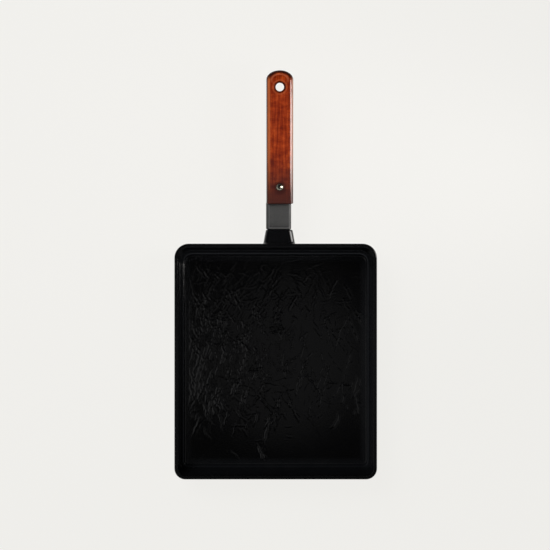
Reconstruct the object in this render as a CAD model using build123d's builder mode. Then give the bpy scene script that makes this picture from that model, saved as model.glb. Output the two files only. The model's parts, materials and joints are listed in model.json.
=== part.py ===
from build123d import *
from math import cos, radians, sin, tan
import os

os.makedirs("parts", exist_ok=True)

# A rectangular cast-iron omelette pan with a wooden grip, in millimetres. The origin is the centre of the
# flat underside, +X points right, +Y towards the grip and +Z up.

# Tray of the casting, measured outside at the rim
rim_width = 180.0
rim_length = 209.5
tray_height = 32.0
wall = 3.3
floor_thickness = 3.8
side_draft = 4.0
end_draft = 8.5
rear_corner = 12.7
front_corner = 9.7
floor_fillet = 3.5
rim_rounding = 1.5
rim_inner_chamfer = 0.5
base_rounding = 2.5
cut_overrun = 1.0

# Spigot, cast on the rear wall a little right of the middle: a flat top with round shoulders
spigot_offset = 3.1
spigot_drop = 3.5
spigot_reach = 12.3
spigot_depth = 12.5
spigot_root_width = 28.6
spigot_tip_width = 23.8
spigot_shoulder = 4.0
spigot_lower_rounding = 1.5
spigot_fillet = 1.5
spigot_edge_chamfer = 0.6

# Bracket, a pressed-steel channel that lies level on the spigot's side and rises from its knee
handle_tilt = 7.0
bracket_offset = 2.6
bracket_gap = 0.3
bracket_lead = 3.0
knee_radius = 18.0
bracket_width = 22.3
bracket_depth = 10.5
sheet = 1.8
sheet_bend = 0.6
bracket_nose = 1.3
tang_width = 14.0
tang_length = 28.0
tang_corner = 3.0

# Tongue, the narrow end of the spigot inside the channel
tongue_height = 8.0
tongue_clearance = 0.2
tongue_setback = 3.0
tongue_rounding = 1.2

# Rivets across the channel and the tongue, dressed flush with the channel's sides
rivet_radius = 2.5
rivet_clearance = 0.05
rivet_share_along_tongue = (0.25, 0.75)

# Wooden grip, which sits a little further right than the bracket. Its front is measured from the knee.
grip_offset = 3.6
grip_front = 20.0
grip_length = 117.0
grip_width = 23.7
grip_above = 5.5
grip_below = 10.5
grip_end_depth = 8.4
grip_rounding = 3.4
grip_front_chamfer = 0.5
grip_clearance = 0.2
mortise_room = 1.0
hanging_hole_radius = 3.7
hanging_hole_chamfer = 1.5
hanging_hole_inset = 14.6

# Bolt, washer and nut
bolt_inset = 14.8
bolt_radius = 2.0
bolt_clearance = 0.2
bolt_head_radius = 3.3
bolt_head_rim = 0.6
bolt_dome = 1.9
bolt_tip_chamfer = 0.4
bolt_tip_reach = 0.5
head_recess_radius = 3.8
head_recess_depth = 1.0
nut_recess_radius = 6.0
nut_recess_depth = 5.0
recess_chamfer = 0.4
washer_radius = 5.0
washer_thickness = 0.8
nut_width = 7.0
nut_thickness = 3.2
nut_chamfer = 0.5
thread_clearance = 0.05
hexagon_half_angle = 30
same_size = 0.001

# Places that follow from the sizes
bracket_top = tray_height - spigot_drop
spigot_tip_y = rim_length / 2 + spigot_reach
bracket_start_y = spigot_tip_y + bracket_gap
knee_y = bracket_start_y + bracket_lead
tongue_depth = sheet + tongue_clearance
tongue_width = bracket_width - 2 * (sheet + tongue_clearance)
tongue_end = grip_front - tongue_setback
grip_thickness = grip_above + grip_below
bolt_at = grip_front + bolt_inset
hanging_hole_at = grip_front + grip_length - hanging_hole_inset

along = (0, cos(radians(handle_tilt)), sin(radians(handle_tilt)))
backward = (0, -along[1], -along[2])
upward = (0, -along[2], along[1])
downward = (0, along[2], -along[1])
across = (1, 0, 0)
knee = (grip_offset, knee_y, bracket_top)
bracket_knee = (bracket_offset, knee_y, bracket_top)
handle_plane = Plane(origin=knee, x_dir=across, z_dir=upward)


def sloping_section(plane, half_at_rim, draft, bottom, top, inset):
    """A section of the tray between two levels, whose sides lean out upwards and are drawn in by an inset."""
    half_bottom = half_at_rim - inset - (tray_height - bottom) * tan(radians(draft))
    half_top = half_at_rim - inset - (tray_height - top) * tan(radians(draft))
    with BuildSketch(plane) as section:
        with BuildLine():
            Polyline(
                (-half_bottom, bottom),
                (half_bottom, bottom),
                (half_top, top),
                (-half_top, top),
                close=True,
            )
        make_face()
    return section.sketch


def tray_block(bottom, top, inset):
    """A block with four sloping walls and rounded corners: what a long and a cross section have in common."""
    cross_section = sloping_section(Plane.XZ, rim_width / 2, side_draft, bottom, top, inset)
    long_section = sloping_section(Plane.YZ, rim_length / 2, end_draft, bottom, top, inset)
    with BuildPart() as block:
        extrude(cross_section, amount=rim_length, both=True)
        extrude(long_section, amount=rim_width, both=True, mode=Mode.INTERSECT)
        level_edges = block.edges().filter_by(Plane.XY)
        corners = (block.edges() - level_edges).sort_by(Axis.Y)
        fillet(corners[:2], front_corner - inset)
        fillet(corners[2:], rear_corner - inset)
    return block.part


def spigot_block():
    """The spigot from inside the rear wall to its tip: it narrows in plan and has rounded shoulders."""
    root_y = rim_length / 2 - 2 * wall
    with BuildPart() as block:
        with BuildSketch(Plane.XY.offset(bracket_top)):
            with BuildLine():
                Polyline(
                    (spigot_offset - spigot_root_width / 2, root_y),
                    (spigot_offset + spigot_root_width / 2, root_y),
                    (spigot_offset + spigot_tip_width / 2, spigot_tip_y),
                    (spigot_offset - spigot_tip_width / 2, spigot_tip_y),
                    close=True,
                )
            make_face()
        extrude(amount=-spigot_depth)
        level_edges = block.edges().filter_by(Plane.XY)
        long_edges = (level_edges - level_edges.filter_by(Axis.X)).group_by(Axis.Z)
        fillet(long_edges[-1], spigot_shoulder)
        fillet(long_edges[0], spigot_lower_rounding)
        chamfer(block.faces().sort_by(Axis.Y)[-1].edges(), spigot_edge_chamfer)
    return block.part


def handle_line(start, end):
    """The line of the bracket's top face between two distances from its knee, which rises after the knee."""
    level_end = (bracket_offset, knee_y + start, bracket_top)
    rising_end = (bracket_offset, *handle_point(end, 0)[1:])
    with BuildLine() as line:
        FilletPolyline(level_end, bracket_knee, rising_end, radius=knee_radius)
    return line.line


def section_plane(start):
    """The plane across the handle line at its level start. Its +Y points down from the bracket's top face."""
    return Plane(origin=(bracket_offset, knee_y + start, bracket_top), x_dir=across, z_dir=(0, 1, 0))


def handle_point(distance, height):
    """A point over the grip's middle line, at a distance from the knee and above the bracket's top."""
    return tuple(k + distance * a + height * u for k, a, u in zip(knee, along, upward))


def rivet_circles(clearance):
    """The rivets' sections, in the upright plane along the middle of the channel."""
    with BuildSketch(Plane(origin=bracket_knee, x_dir=along, z_dir=across)) as circles:
        for share in rivet_share_along_tongue:
            with Locations((tongue_end * share, -tongue_depth - tongue_height / 2)):
                Circle(rivet_radius + clearance)
    return circles.sketch


def on_the_outside(edge):
    """Whether an edge of the bracket's front lies on the channel's outer face."""
    middle = edge.center()
    return middle.Z > bracket_top - sheet / 2 or abs(middle.X - bracket_offset) > (bracket_width - sheet) / 2


def hole_rims(part, radius):
    """The circular edges of one radius, in groups from the handle's underside to its top."""
    circles = part.edges().filter_by(GeomType.CIRCLE)
    rims = circles.filter_by(lambda rim: abs(rim.radius - radius) < same_size)
    return rims.group_by(Axis(knee, upward))


def plane_facing_up(distance, height):
    """A plane across the handle's thickness, facing its top."""
    return Plane(origin=handle_point(distance, height), x_dir=across, z_dir=upward)


def plane_facing_down(distance, height):
    """A plane across the handle's thickness, facing its underside."""
    return Plane(origin=handle_point(distance, height), x_dir=across, z_dir=downward)


# Where the holes and the bolt's pieces sit on the handle
bolt_top = plane_facing_up(bolt_at, grip_above)
bolt_bottom = plane_facing_down(bolt_at, -grip_below)
hanging_hole_top = plane_facing_up(hanging_hole_at, grip_above)
bolt_seat = handle_point(bolt_at, grip_above - head_recess_depth)
bolt_profile_plane = Plane(origin=bolt_seat, x_dir=across, z_dir=backward)
washer_face = plane_facing_down(bolt_at, nut_recess_depth - grip_below)
nut_face = plane_facing_down(bolt_at, nut_recess_depth - grip_below - washer_thickness)
bolt_grip = grip_thickness - head_recess_depth - nut_recess_depth
bolt_length = bolt_grip + washer_thickness + nut_thickness + bolt_tip_reach

# The casting: tray, spigot and tongue in one piece
with BuildPart() as pan_body:
    add(tray_block(0, tray_height, 0))
    fillet(pan_body.faces().sort_by(Axis.Z)[0].edges(), base_rounding)

    add(spigot_block())
    fillet(pan_body.edges(Select.NEW), spigot_fillet)

    add(tray_block(floor_thickness, tray_height + cut_overrun, wall), mode=Mode.SUBTRACT)
    cavity_floor = pan_body.faces().filter_by(Plane.XY).sort_by(Axis.Z)[1]
    fillet(cavity_floor.edges(), floor_fillet)
    rim_face = pan_body.faces().sort_by(Axis.Z)[-1]
    fillet(rim_face.outer_wire().edges(), rim_rounding)
    rim_face = pan_body.faces().sort_by(Axis.Z)[-1]
    chamfer(rim_face.inner_wires()[0].edges(), rim_inner_chamfer)

    tongue_start = spigot_tip_y - knee_y - spigot_fillet
    with BuildSketch(section_plane(tongue_start)):
        with Locations((0, tongue_depth + tongue_height / 2)):
            RectangleRounded(tongue_width, tongue_height, tongue_rounding)
    sweep(path=handle_line(tongue_start, tongue_end))
    extrude(rivet_circles(rivet_clearance), amount=bracket_width / 2, both=True, mode=Mode.SUBTRACT)
pan_body.part.label = "pan_body"
export_step(pan_body.part, "parts/pan_body.step")

# The bracket: a channel folded over the tongue, with a narrow tang that goes into the grip
with BuildPart() as handle_bracket:
    with BuildSketch(section_plane(-bracket_lead)) as channel:
        downwards = (Align.CENTER, Align.MIN)
        Rectangle(bracket_width, bracket_depth, align=downwards)
        with Locations((0, sheet)):
            Rectangle(bracket_width - 2 * sheet, bracket_depth, align=downwards, mode=Mode.SUBTRACT)
        fillet(channel.vertices().group_by(Axis.Y)[1], sheet_bend)
        fillet(channel.vertices().group_by(Axis.Y)[0], sheet + sheet_bend)
    sweep(path=handle_line(-bracket_lead, grip_front - grip_clearance))
    nose_edges = handle_bracket.faces().sort_by(Axis.Y)[0].edges()
    fillet(nose_edges.filter_by(on_the_outside), bracket_nose)

    with BuildSketch(handle_plane):
        from_the_channel = (Align.CENTER, Align.MIN)
        with Locations((0, grip_front - tang_corner)):
            RectangleRounded(tang_width, tang_length + tang_corner, tang_corner, align=from_the_channel)
        with Locations((0, bolt_at)):
            Circle(bolt_radius + bolt_clearance, mode=Mode.SUBTRACT)
    extrude(amount=-sheet)
    extrude(rivet_circles(rivet_clearance), amount=bracket_width / 2, both=True, mode=Mode.SUBTRACT)
handle_bracket.part.label = "handle_bracket"
export_step(handle_bracket.part, "parts/handle_bracket.step")

with BuildPart() as bracket_rivets:
    extrude(rivet_circles(0), amount=bracket_width / 2, both=True)
bracket_rivets.part.label = "bracket_rivets"
export_step(bracket_rivets.part, "parts/bracket_rivets.step")

# The grip, drawn in plan on its top face: straight sides and half an ellipse at the far end
with BuildPart() as handle_grip:
    grip_straight = grip_length - grip_end_depth
    with BuildSketch(handle_plane.offset(grip_above)):
        with Locations((0, grip_front + grip_straight / 2)):
            Rectangle(grip_width, grip_straight)
        with Locations((0, grip_front + grip_straight)):
            Ellipse(grip_width / 2, grip_end_depth)
    extrude(amount=-grip_thickness)
    straight_edges = handle_grip.edges().filter_by(Axis(knee, along))
    fillet(straight_edges + handle_grip.edges().filter_by(GeomType.ELLIPSE), grip_rounding)
    chamfer(handle_grip.faces().sort_by(Axis(knee, along))[0].edges(), grip_front_chamfer)

    # The mortise for the tang
    with BuildSketch(Plane(origin=handle_point(grip_front, -sheet / 2), x_dir=across, z_dir=along)):
        RectangleRounded(tang_width + 2 * grip_clearance, sheet + 2 * grip_clearance, grip_clearance)
    extrude(amount=tang_length + mortise_room, mode=Mode.SUBTRACT)

    # The bolt's hole with a round recess on both faces, and the hanging hole
    with Locations(bolt_top):
        CounterBoreHole(bolt_radius + bolt_clearance, head_recess_radius, head_recess_depth)
    with Locations(bolt_bottom):
        CounterBoreHole(bolt_radius + bolt_clearance, nut_recess_radius, nut_recess_depth)
    with Locations(hanging_hole_top):
        Hole(hanging_hole_radius)
    chamfer(hole_rims(handle_grip, head_recess_radius)[-1], recess_chamfer)
    chamfer(hole_rims(handle_grip, nut_recess_radius)[0], recess_chamfer)
    hanging_rims = hole_rims(handle_grip, hanging_hole_radius)
    chamfer(hanging_rims[0] + hanging_rims[-1], hanging_hole_chamfer)
handle_grip.part.label = "handle_grip"
export_step(handle_grip.part, "parts/handle_grip.step")

# The bolt: a plain domed head over a straight shank, turned about its own axis
with BuildPart() as handle_bolt:
    with BuildSketch(bolt_profile_plane):
        with BuildLine():
            dome_top = (0, bolt_head_rim + bolt_dome)
            dome = TangentArc(dome_top, (bolt_head_radius, bolt_head_rim), tangent=(1, 0))
            Polyline(
                dome @ 1,
                (bolt_head_radius, 0),
                (bolt_radius, 0),
                (bolt_radius, bolt_tip_chamfer - bolt_length),
                (bolt_radius - bolt_tip_chamfer, -bolt_length),
                (0, -bolt_length),
                dome @ 0,
            )
        make_face()
    revolve(axis=Axis(bolt_seat, upward))
handle_bolt.part.label = "handle_bolt"
export_step(handle_bolt.part, "parts/handle_bolt.step")

with BuildPart() as nut_washer:
    with BuildSketch(washer_face):
        Circle(washer_radius)
        Circle(bolt_radius + bolt_clearance, mode=Mode.SUBTRACT)
    extrude(amount=washer_thickness)
nut_washer.part.label = "nut_washer"
export_step(nut_washer.part, "parts/nut_washer.step")

# The nut: a disc with turned-down corners, cut to a hexagon
with BuildPart() as handle_nut:
    with BuildSketch(nut_face):
        Circle(nut_width / (2 * cos(radians(hexagon_half_angle))))
    extrude(amount=nut_thickness)
    chamfer(handle_nut.edges().filter_by(GeomType.CIRCLE), nut_chamfer)
    with BuildSketch(nut_face):
        RegularPolygon(nut_width / 2, 6, major_radius=False)
        Circle(bolt_radius + thread_clearance, mode=Mode.SUBTRACT)
    extrude(amount=nut_thickness, mode=Mode.INTERSECT)
handle_nut.part.label = "handle_nut"
export_step(handle_nut.part, "parts/handle_nut.step")
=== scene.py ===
# %% [markdown]
# # A cast-iron omelette pan, seen from straight above
# The object is a rectangular iron tray with a short spigot at its rear, a pressed-steel bracket on the
# spigot and a wooden grip held by one bolt. All of it could be modelled again by eye, but its plain CAD
# solids already have the right sizes. So they are loaded first and stay where they are, as the frame that
# everything else is measured from, and only the casting, which is tray and spigot, is made again with finer
# detail.

import json
from math import atan2, cos, pi, radians, sin, tan

import bpy
import numpy as np
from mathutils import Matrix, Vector


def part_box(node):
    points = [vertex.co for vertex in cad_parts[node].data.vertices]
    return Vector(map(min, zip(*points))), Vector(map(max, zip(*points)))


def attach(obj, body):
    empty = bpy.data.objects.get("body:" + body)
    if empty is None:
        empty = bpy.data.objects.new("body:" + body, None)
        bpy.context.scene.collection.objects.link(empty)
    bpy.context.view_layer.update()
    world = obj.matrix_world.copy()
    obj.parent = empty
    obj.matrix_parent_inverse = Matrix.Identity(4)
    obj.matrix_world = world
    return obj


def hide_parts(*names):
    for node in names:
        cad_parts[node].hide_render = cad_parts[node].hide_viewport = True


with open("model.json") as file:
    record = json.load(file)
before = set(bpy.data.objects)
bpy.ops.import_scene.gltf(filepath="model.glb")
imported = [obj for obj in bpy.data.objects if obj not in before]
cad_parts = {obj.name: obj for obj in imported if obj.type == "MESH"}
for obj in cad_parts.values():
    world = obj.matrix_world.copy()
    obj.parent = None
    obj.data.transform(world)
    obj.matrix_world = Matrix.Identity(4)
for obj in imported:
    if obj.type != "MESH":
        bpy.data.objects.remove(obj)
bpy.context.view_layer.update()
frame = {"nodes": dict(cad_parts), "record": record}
print("CAD nodes:", ", ".join(sorted(frame["nodes"])))

# %% [markdown]
# ## Sizes
# Blender works in metres, and the sizes of a kitchen tool are easier to read in millimetres, so each length
# is a number times MM, and lengths that belong together go through mm(). The tray's sizes are those of the
# real casting, outside at the rim. The handle's place and lean could be typed in too, but the frame knows
# them: the hanging hole's axis stands square on the grip's top face.

# %% Sizes of the tray and the lie of the handle
MM = 0.001


def mm(*lengths):
    """Several lengths in millimetres, as metres."""
    return tuple(length * MM for length in lengths)


RIM_WIDTH = 180 * MM
RIM_LENGTH = 209.5 * MM
REAR = RIM_LENGTH / 2
TRAY_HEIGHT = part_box("pan_body")[1].z
WALL = 3.3 * MM
FLOOR_THICKNESS = 3.8 * MM
SIDE_DRAFT = radians(4)
END_DRAFT = radians(8.5)
REAR_CORNER = 12.7 * MM
FRONT_CORNER = 9.7 * MM

hanging_hole = next(mount for mount in frame["record"]["mounts"] if mount["name"] == "hanging_hole")
hole_axis = Vector(hanging_hole["axis"])
TILT = atan2(-hole_axis.y, hole_axis.z)
GRIP_OFFSET = hanging_hole["pos_m"][0]
SPIGOT_OFFSET = 3.1 * MM
BRACKET_OFFSET = 2.6 * MM
print(f"tray {TRAY_HEIGHT / MM:.1f} mm high, handle rises {TILT * 180 / pi:.1f} degrees")

# %% [markdown]
# ## The camera
# The photograph looks straight down, so the camera hangs over the pan and looks along -Z with +Y at the top
# of the picture. Blender's camera looks that way with no rotation at all. It could be moved until the
# picture looks right, but two measured facts place it exactly: at the height of the rim one pixel of the
# photograph covers 0.886 mm, and the tray's middle is at a known pixel. So the render lies over the
# photograph.

# %% The camera
PHOTO_SIDE = 550
PIXEL_AT_RIM = 0.886 * MM
TRAY_CENTRE_PIXEL = (275.7, 361.6)
CAMERA_ABOVE_RIM = 1350 * MM

camera = bpy.data.objects.new("camera", bpy.data.cameras.new("camera"))
bpy.context.scene.collection.objects.link(camera)
bpy.context.scene.camera = camera
camera.location = (
    (PHOTO_SIDE / 2 - TRAY_CENTRE_PIXEL[0]) * PIXEL_AT_RIM,
    (TRAY_CENTRE_PIXEL[1] - PHOTO_SIDE / 2) * PIXEL_AT_RIM,
    TRAY_HEIGHT + CAMERA_ABOVE_RIM,
)
camera.data.lens = camera.data.sensor_width * CAMERA_ABOVE_RIM / (PHOTO_SIDE * PIXEL_AT_RIM)
bpy.context.scene.view_settings.view_transform = "Standard"
print(f"lens {camera.data.lens:.1f} mm")

# %% [markdown]
# ## Sums on node sockets
# A procedural finish is a sum of patterns. Written node by node it is hard to read, so one small class
# wraps a socket and lets Python's own signs add the Math nodes: `1 - mask * 0.3` becomes two of them. Any
# other node comes from the method `node`, which sets the node's settings first and its sockets after. A
# finish is then built up as paint is, one layer over another, and the method `painted` adds a layer.


# %% A socket that can be reckoned with
class Net:
    """A socket of a node tree that can be added, multiplied and painted over like a number or a colour."""

    def __init__(self, tree, socket=None):
        self.tree = tree
        self.socket = socket

    def node(self, kind, settings=None, inputs=None, output=0):
        """Adds a node, first its settings and then the values or links of its sockets. Gives one output."""
        made = self.tree.nodes.new(kind)
        for name, value in (settings or {}).items():
            if name == "stops":
                self.set_stops(made.color_ramp, value)
            else:
                setattr(made, name, value)
        for name, value in (inputs or {}).items():
            if isinstance(value, Net):
                self.tree.links.new(value.socket, made.inputs[name])
            else:
                made.inputs[name].default_value = value
        return Net(self.tree, made.outputs[output] if made.outputs else None)

    @staticmethod
    def set_stops(ramp, stops):
        """Fills a colour ramp with (place, colour) pairs."""
        while len(ramp.elements) < len(stops):
            ramp.elements.new(1)
        for element, (place, colour) in zip(ramp.elements, stops):
            element.position = place
            element.color = colour

    def math(self, operation, first, second):
        return self.node("ShaderNodeMath", {"operation": operation}, {0: first, 1: second})

    def __add__(self, other):
        return self.math("ADD", self, other)

    def __sub__(self, other):
        return self.math("SUBTRACT", self, other)

    def __mul__(self, other):
        return self.math("MULTIPLY", self, other)

    def __pow__(self, other):
        return self.math("POWER", self, other)

    def __rsub__(self, other):
        return self.math("SUBTRACT", other, self)

    def __neg__(self):
        return self.math("MULTIPLY", self, -1)

    def __abs__(self):
        return self.math("ABSOLUTE", self, 0)

    __radd__ = __add__
    __rmul__ = __mul__

    def step(self, low, high):
        """An S-curve that is 0 below low and 1 above high."""
        return self.node(
            "ShaderNodeMapRange",
            {"interpolation_type": "SMOOTHSTEP"},
            {"Value": self, "From Min": low, "From Max": high},
        )

    def band(self, low, full, still, gone):
        """A strip that rises between low and full and falls between still and gone."""
        return self.step(low, full) * (1 - self.step(still, gone))

    def mixed(self, first, second):
        """A blend of two colours, with this number as the second one's share."""
        return self.node(
            "ShaderNodeMix", {"data_type": "RGBA"}, {"Factor": self, 6: first, 7: second}, output=2
        )

    def painted(self, mask, strength, colour):
        """This colour with another over it, which covers by the strength where the mask is 1."""
        return (strength * mask).mixed(self, colour)


print("sums on sockets ready")

# %% [markdown]
# ## Patterns that the finishes share
# Real surfaces vary in patches of many sizes. A photographed texture could show that, but it repeats and
# needs a file, while noise worked out from the object's own metres never repeats and keeps its true size. A
# Mapping node can stretch that noise, which makes streaks along a grain.

# %% The patterns
def object_place(net, turn=(0, 0, 0), stretch=(1, 1, 1)):
    """The point of the surface in the object's own metres, turned and then stretched by a Mapping node."""
    place = net.node("ShaderNodeTexCoord", output="Object")
    turned = net.node("ShaderNodeMapping", inputs={"Vector": place, "Rotation": turn})
    return net.node("ShaderNodeMapping", inputs={"Vector": turned, "Scale": stretch})


def cloudy(net, place, size, detail=3.0, roughness=0.55, distortion=0.0):
    """Soft noise between 0 and 1 whose patches are about the given size."""
    return net.node(
        "ShaderNodeTexNoise",
        inputs={
            "Vector": place, "Scale": 1 / size, "Detail": detail,
            "Roughness": roughness, "Distortion": distortion,
        },
    )


def axis_of(net, place, axis):
    """One coordinate of a point, by its name."""
    return net.node("ShaderNodeSeparateXYZ", inputs={"Vector": place}, output=axis)


def raised(net, height, strength, distance):
    """The surface's direction when a pattern stands up from it by the given distance."""
    return net.node(
        "ShaderNodeBump", inputs={"Strength": strength, "Distance": distance, "Height": height}
    )


def material(name, recipe):
    """A material whose Principled shader gets the values and links that recipe(net) returns."""
    made = bpy.data.materials.new(name)
    made.use_nodes = True
    tree = made.node_tree
    tree.nodes.clear()
    net = Net(tree)
    shader = net.node("ShaderNodeBsdfPrincipled", inputs=recipe(net))
    net.node("ShaderNodeOutputMaterial", inputs={"Surface": shader})
    print(f"material {name}: {len(tree.nodes)} nodes")
    return made


print("patterns ready")

# %% [markdown]
# ## The pale ground
# The photograph stands on an even pale ground. White paper under strong lamps would show it, but those
# lamps would be too strong for the pan. So the floor here shows its colour to the camera and to anything
# that mirrors it, while for ordinary light it is a plain matte floor. A small share of the matte floor is
# mixed into what the camera sees, and keeps a faint shadow under the pan.

# %% The pale floor
GROUND_COLOUR = (0.900, 0.891, 0.861, 1)
SHADOW_SHARE = 0.07
FLOOR_REACH = 6000 * MM


def pale_ground(name, matte_share):
    """Pale to the camera and in mirrors, matte for ordinary light, with matte_share of that everywhere."""
    made = bpy.data.materials.new(name)
    made.use_nodes = True
    made.node_tree.nodes.clear()
    net = Net(made.node_tree)
    seen = net.node("ShaderNodeLightPath", output="Is Camera Ray")
    seen = seen + net.node("ShaderNodeLightPath", output="Is Glossy Ray")
    seen = seen + net.node("ShaderNodeLightPath", output="Is Transmission Ray")
    matte = net.node("ShaderNodeBsdfDiffuse", inputs={"Color": GROUND_COLOUR})
    shown = net.node("ShaderNodeEmission", inputs={"Color": GROUND_COLOUR, "Strength": 1.0})
    both = net.node("ShaderNodeMixShader", inputs={0: seen * (1 - matte_share), 1: matte, 2: shown})
    net.node("ShaderNodeOutputMaterial", inputs={"Surface": both})
    return made


def add_mesh(name, points, faces, smooth=True):
    """A mesh object at the origin from an array of points and a list or array of faces."""
    mesh = bpy.data.meshes.new(name)
    mesh.from_pydata(np.asarray(points, float).tolist(), [], [list(map(int, face)) for face in faces])
    mesh.polygons.foreach_set("use_smooth", np.full(len(mesh.polygons), smooth))
    mesh.validate()
    piece = bpy.data.objects.new(name, mesh)
    bpy.context.scene.collection.objects.link(piece)
    return piece


floor_corners = FLOOR_REACH * np.array([(-1, -1, 0), (1, -1, 0), (1, 1, 0), (-1, 1, 0)])
studio_floor = add_mesh("studio_floor", floor_corners, [(0, 1, 2, 3)], smooth=False)
studio_floor.data.materials.append(pale_ground("pale_floor", SHADOW_SHARE))
print(f"studio floor reaches {FLOOR_REACH:.0f} m each way")

# %% [markdown]
# ## Lamps
# A dark, glossy pan shows little colour of its own and mostly what it mirrors, so each lamp hangs where one
# feature of the photograph calls for it. A narrow bright card close to the handle's right draws the white
# line along the grip, the spigot and the bolt's head, and its narrow beam keeps it off the tray. A soft
# lamp at the rear left lights the matte surfaces, and mirrors don't show it. Two dim cards hang high on the
# left and the right, a little to the front: most of the flat floor doesn't mirror them, but the slopes of
# its creases do, and glint. A dim round patch beside the camera is what the flat floor mirrors. A picture
# of a room could light the pan at once, but each of these can be moved by itself. A lamp's strength is the
# brightness of its face, where 1 is a white sheet in plain light, because that is what a mirror shows of
# it.

# %% The lamps
PAN_MIDDLE = Vector(mm(0, 60, 20))
HANDLE_MIDDLE = Vector(mm(10, 190, 35))
BEFORE_THE_TRAY = Vector(mm(0, -190, 4))


def card(
    name, target, azimuth, elevation, distance, width, height, brightness,
    colour=(1, 1, 1), round_face=False, mirrored=True, spread=180,
):
    """An area lamp facing a target. Azimuth 0 is over +X and 90 over +Y. Power = pi * area * brightness.
    Spread is the width of its beam in degrees."""
    lamp = bpy.data.lights.new(name, "AREA")
    lamp.shape = "ELLIPSE" if round_face else "RECTANGLE"
    lamp.size = width
    lamp.size_y = height
    area = width * height * (pi / 4 if round_face else 1)
    lamp.energy = pi * area * brightness
    lamp.color = colour
    lamp.spread = radians(spread)
    holder = bpy.data.objects.new(name, lamp)
    bpy.context.scene.collection.objects.link(holder)
    az, el = radians(azimuth), radians(elevation)
    outward = Vector((cos(az) * cos(el), sin(az) * cos(el), sin(el)))
    holder.location = target + outward * distance
    holder.rotation_mode = "QUATERNION"
    holder.rotation_quaternion = outward.to_track_quat("Z", "Y")
    holder.visible_camera = False
    holder.visible_glossy = mirrored


card(
    "handle_card", HANDLE_MIDDLE, azimuth=-6, elevation=38, distance=0.32,
    width=0.12, height=0.32, brightness=1.60, colour=(1.0, 0.97, 0.94), spread=70,
)
card(
    "key_lamp", PAN_MIDDLE, azimuth=135, elevation=52, distance=1.5,
    width=0.9, height=0.9, brightness=4.9, mirrored=False,
)
card(
    "left_crease_lamp", BEFORE_THE_TRAY, azimuth=180, elevation=75, distance=1.42,
    width=0.48, height=0.28, brightness=0.29,
)
card(
    "right_crease_lamp", BEFORE_THE_TRAY, azimuth=0, elevation=76, distance=1.42,
    width=0.48, height=0.22, brightness=0.20,
)
card(
    "ceiling_patch", PAN_MIDDLE, azimuth=276, elevation=84.5, distance=1.4,
    width=0.30, height=0.30, brightness=0.094, round_face=True,
)

# %% [markdown]
# ## The dim room
# Round the table stand dim bluish screens, a little brighter at the front and on the left, and above them
# the ceiling is almost black. Real walls could be modelled, but nothing sees them except in mirrors, so the
# world is a gradient on the direction of view. Close to the horizon it takes the ground's colour, so that
# the pale floor seems to go on for ever where steep glossy sides mirror it.

# %% The dim room
DARK_CEILING = 0.012
SCREENS_MIDDLE = 0.17
SCREENS_LEFT_MORE = 0.07
SCREENS_FRONT_MORE = 0.14
SCREEN_COLOUR = (0.86, 0.91, 1.0, 1)
# Where the screens and the ground's colour fade out, from 0 at the horizon to 1 straight overhead
SCREENS_TOP = (0.35, 0.55)
GROUND_TOP = (0.04, 0.07)

world = bpy.data.worlds.new("studio")
bpy.context.scene.world = world
world.use_nodes = True
world.node_tree.nodes.clear()
air = Net(world.node_tree)
direction = air.node("ShaderNodeTexCoord", output="Generated")
leftward, frontward = -axis_of(air, direction, "X"), -axis_of(air, direction, "Y")
upward = axis_of(air, direction, "Z")
screens = SCREENS_MIDDLE + SCREENS_LEFT_MORE * leftward + SCREENS_FRONT_MORE * frontward
brightness = DARK_CEILING + (1 - upward.step(*SCREENS_TOP)) * screens
room = air.node("ShaderNodeBackground", inputs={"Color": SCREEN_COLOUR, "Strength": brightness})
pale_room = air.node("ShaderNodeBackground", inputs={"Color": GROUND_COLOUR, "Strength": 1.0})
at_horizon = 1 - upward.step(*GROUND_TOP)
whole_room = air.node("ShaderNodeMixShader", inputs={0: at_horizon, 1: room, 2: pale_room})
air.node("ShaderNodeOutputWorld", inputs={"Surface": whole_room})
print(f"room: {len(world.node_tree.nodes)} nodes")

# %% [markdown]
# ## Seasoned iron
# Cast iron that has been fired with oil many times is almost black and slightly glossy. The casting skin
# has a fine grain of about a millimetre, and the oil fills part of it, so colour, gloss and height all vary
# a little. The walls are painted greyer and a little blue, a painted reflection of the dim screens that they
# mirror at a grazing angle, the tops of the rim and the spigot are painted darker again, and the cooking
# floor is blacker and a little smoother. Two materials could meet at the foot of the wall, but a hard seam
# would show there. So one material does it all, and a point attribute named cooking_floor says how much of a
# floor each point is.

# %% The iron
GRAIN_SIZE = 0.9 * MM
PATCH_SIZE = 14 * MM
PATCHES_SHOW = (0.35, 0.7)
FLOOR_COLOURS = (0.0009, 0.0009, 0.0010, 1), (0.0015, 0.0014, 0.0015, 1)
# Painted reflection: the walls are greyer and bluish, standing in for the dim screens they mirror at a
# grazing angle
WALL_SHEEN_COLOURS = (0.0050, 0.0054, 0.0064, 1), (0.0068, 0.0071, 0.0080, 1)
# Above this height the tops of the rim and the spigot are painted darker again, without the walls' painted
# reflection
TOPS_START = (TRAY_HEIGHT - 4.5 * MM, TRAY_HEIGHT - 3.0 * MM)
TOPS_PAINT = 0.75, (0.0022, 0.0022, 0.0023, 1)
IRON_ROUGHNESS = 0.13
FLOOR_SMOOTHER = 0.015
ROUGHNESS_SWING = 0.04


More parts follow.
